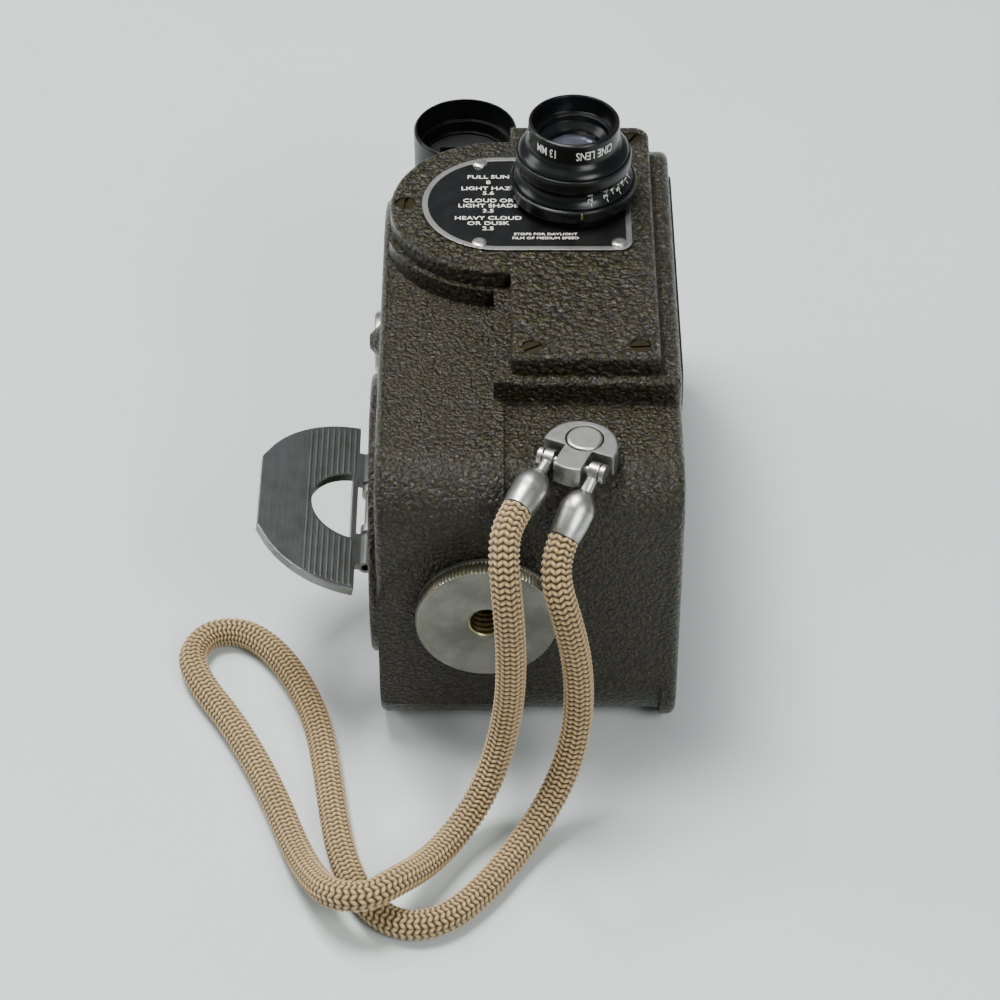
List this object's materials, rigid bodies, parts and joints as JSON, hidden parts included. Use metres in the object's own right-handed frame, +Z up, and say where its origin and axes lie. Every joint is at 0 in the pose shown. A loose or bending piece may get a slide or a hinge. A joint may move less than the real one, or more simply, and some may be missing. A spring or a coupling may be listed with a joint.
{
  "type": "cine camera",
  "caption": "Spring-wound double-run cine camera on its back, with winding key, tube finder, fixed lens, film door and woven wrist strap.",
  "frame": {"origin": "middle of the footprint of the camera without its strap, on the surface it lies on", "axes": "+X towards the film door, +Y towards the finder end (top of the camera in use), +Z up along the lens axis"},
  "size_m": [0.0934, 0.1633, 0.0871],
  "materials": {
    "painted_casting": "olive-brown crackle paint on die-cast alloy",
    "painted_cover": "coarse pebbled olive-brown paint",
    "painted_door": "olive-brown crackle paint",
    "black_enamel": "satin black enamel",
    "nickel_steel": "nickel-plated, worn",
    "key_steel": "brushed steel, polished at the edge",
    "satin_aluminium": "satin turned aluminium",
    "zinc_bush": "matt grey plated, worn",
    "gear_brass": "machined brass",
    "tool_steel": "ground steel",
    "gate_steel": "polished steel",
    "spool_metal": "black lacquer on steel",
    "film_base": "glossy film stock",
    "clear_glass": "polished, blue-violet coating",
    "strap_braid": "khaki woven braid over a core"
  },
  "bodies": {
    "camera_body": {"main_housing": "painted_casting", "front_cover": "painted_cover", "front_cover_screws": "nickel_steel", "exposure_plate": "black_enamel", "exposure_plate_rivets": "nickel_steel", "motor_side_cover": "painted_casting", "side_cover_screws": "nickel_steel", "finder_front_cup": "black_enamel", "finder_mask": "black_enamel", "finder_tube": "black_enamel", "finder_front_lens": "clear_glass", "finder_eye_lens": "clear_glass", "eyepiece_ring": "black_enamel", "lens_mount_ring": "satin_aluminium", "lens_barrel": "black_enamel", "front_lens_element": "clear_glass", "rear_lens_element": "clear_glass", "iris_diaphragm": "black_enamel", "mechanism_plate": "gear_brass", "mechanism_pillars": "gear_brass", "ratchet_pawl_pin": "nickel_steel", "governor_brake_cup": "gear_brass", "film_gate_plate": "gate_steel", "pressure_plate_bracket": "gate_steel", "feed_spindle": "tool_steel", "takeup_spindle": "tool_steel", "film_strip": "film_base", "tripod_bush": "zinc_bush", "strap_stud": "nickel_steel"},
    "door": {"film_door": "painted_door", "door_side_plate": "black_enamel"},
    "door_latch": {"door_latch_knob": "satin_aluminium", "door_latch_tongue": "tool_steel"},
    "release_button": {"start_button": "satin_aluminium"},
    "speed_selector": {"speed_dial": "satin_aluminium"},
    "footage_counter": {"footage_dial": "satin_aluminium"},
    "aperture": {"aperture_ring": "black_enamel"},
    "winding": {"winding_arbor": "tool_steel", "ratchet_wheel": "tool_steel", "key_hub": "key_steel", "key_hinge_pin": "nickel_steel"},
    "key": {"key_plate": "key_steel"},
    "spring_barrel": {"mainspring_barrel": "gear_brass", "mainspring": "tool_steel"},
    "first_gear": {"first_wheel": "gear_brass"},
    "second_gear": {"second_wheel": "gear_brass"},
    "governor": {"governor_rotor": "gear_brass"},
    "shutter": {"shutter_shaft": "tool_steel", "shutter_disc": "tool_steel"},
    "pawl": {"ratchet_pawl": "tool_steel"},
    "claw": {"pull_down_claw": "tool_steel"},
    "pressure_pad": {"pressure_plate": "gate_steel"},
    "feed_reel": {"feed_spool": "spool_metal", "film_roll": "film_base"},
    "takeup_reel": {"takeup_spool": "spool_metal"},
    "strap": {"strap_hub": "satin_aluminium", "strap_cross_pin": "nickel_steel", "left_ferrule": "satin_aluminium", "right_ferrule": "satin_aluminium", "strap_cord": "strap_braid"}
  },
  "joints": [
    {"name": "door_lift", "type": "slide", "parent": "camera_body", "child": "door", "axis": [1, 0, 0], "range_m": [0, 0.04]},
    {"name": "latch_turn", "type": "hinge", "parent": "door", "child": "door_latch", "pos_m": [0.03609, 0.04473, 0.03], "axis": [1, 0, 0], "range_deg": [0, 90]},
    {"name": "button_press", "type": "slide", "parent": "camera_body", "child": "release_button", "axis": [1, 0, 0], "range_m": [0, 0.0012], "stiffness_N_per_m": 400, "springref_m": -0.001},
    {"name": "speed_turn", "type": "hinge", "parent": "camera_body", "child": "speed_selector", "pos_m": [-0.01691, 0.01922, 0.034], "axis": [1, 0, 0], "range_deg": [-75, 75]},
    {"name": "counter_turn", "type": "hinge", "parent": "camera_body", "child": "footage_counter", "pos_m": [-0.01591, 0.03122, 0.017], "axis": [1, 0, 0], "range_deg": [0, 330]},
    {"name": "aperture_turn", "type": "hinge", "parent": "camera_body", "child": "aperture", "pos_m": [0.01944, 0.01903, 0.077], "axis": [0, 0, 1], "range_deg": [0, 110]},
    {"name": "winding_turn", "type": "hinge", "parent": "camera_body", "child": "winding", "pos_m": [-0.01191, -0.02877, 0.033], "axis": [1, 0, 0], "continuous": true},
    {"name": "key_fold", "type": "hinge", "parent": "winding", "child": "key", "pos_m": [-0.01851, -0.02877, 0.033], "axis": [0, 1, 0], "range_deg": [-14, 76]},
    {"name": "second_gear_turn", "type": "hinge", "parent": "camera_body", "child": "second_gear", "pos_m": [-0.00191, 0.01553, 0.044], "axis": [1, 0, 0], "continuous": true},
    {"name": "barrel_turn", "type": "hinge", "parent": "camera_body", "child": "spring_barrel", "pos_m": [-0.00391, -0.02877, 0.033], "axis": [1, 0, 0], "continuous": true},
    {"name": "first_gear_turn", "type": "hinge", "parent": "camera_body", "child": "first_gear", "pos_m": [-0.00191, -0.00531, 0.03634], "axis": [1, 0, 0], "continuous": true},
    {"name": "governor_turn", "type": "hinge", "parent": "camera_body", "child": "governor", "pos_m": [-0.00191, 0.02272, 0.03153], "axis": [1, 0, 0], "continuous": true},
    {"name": "shutter_turn", "type": "hinge", "parent": "camera_body", "child": "shutter", "pos_m": [0.00559, 0.01553, 0.06], "axis": [0, 0, 1], "continuous": true},
    {"name": "pawl_swing", "type": "hinge", "parent": "camera_body", "child": "pawl", "pos_m": [-0.01361, -0.01378, 0.037], "axis": [1, 0, 0], "range_deg": [0, 12], "stiffness_Nm_per_rad": 0.002, "springref_deg": -11.46},
    {"name": "claw_stroke", "type": "slide", "parent": "camera_body", "child": "claw", "axis": [0, 1, 0], "range_m": [-0.0038, 0]},
    {"name": "pad_press", "type": "slide", "parent": "camera_body", "child": "pressure_pad", "axis": [0, 0, 1], "range_m": [-0.0008, 0], "stiffness_N_per_m": 300, "springref_m": 0.001},
    {"name": "feed_turn", "type": "hinge", "parent": "camera_body", "child": "feed_reel", "pos_m": [0.02009, 0.02873, 0.028], "axis": [1, 0, 0], "continuous": true},
    {"name": "takeup_turn", "type": "hinge", "parent": "camera_body", "child": "takeup_reel", "pos_m": [0.02009, -0.02658, 0.028], "axis": [1, 0, 0], "continuous": true},
    {"name": "strap_swivel", "type": "hinge", "parent": "camera_body", "child": "strap", "pos_m": [0.02049, -0.04637, 0.064], "axis": [0, 0, 1], "range_deg": [0, 30]}
  ],
  "couplings": [
    {"joint": "first_gear_turn", "follows": "second_gear_turn", "ratio": -0.23333},
    {"joint": "barrel_turn", "follows": "second_gear_turn", "ratio": 0.054688},
    {"joint": "governor_turn", "follows": "second_gear_turn", "ratio": -5},
    {"joint": "shutter_turn", "follows": "second_gear_turn", "ratio": 4}
  ]
}
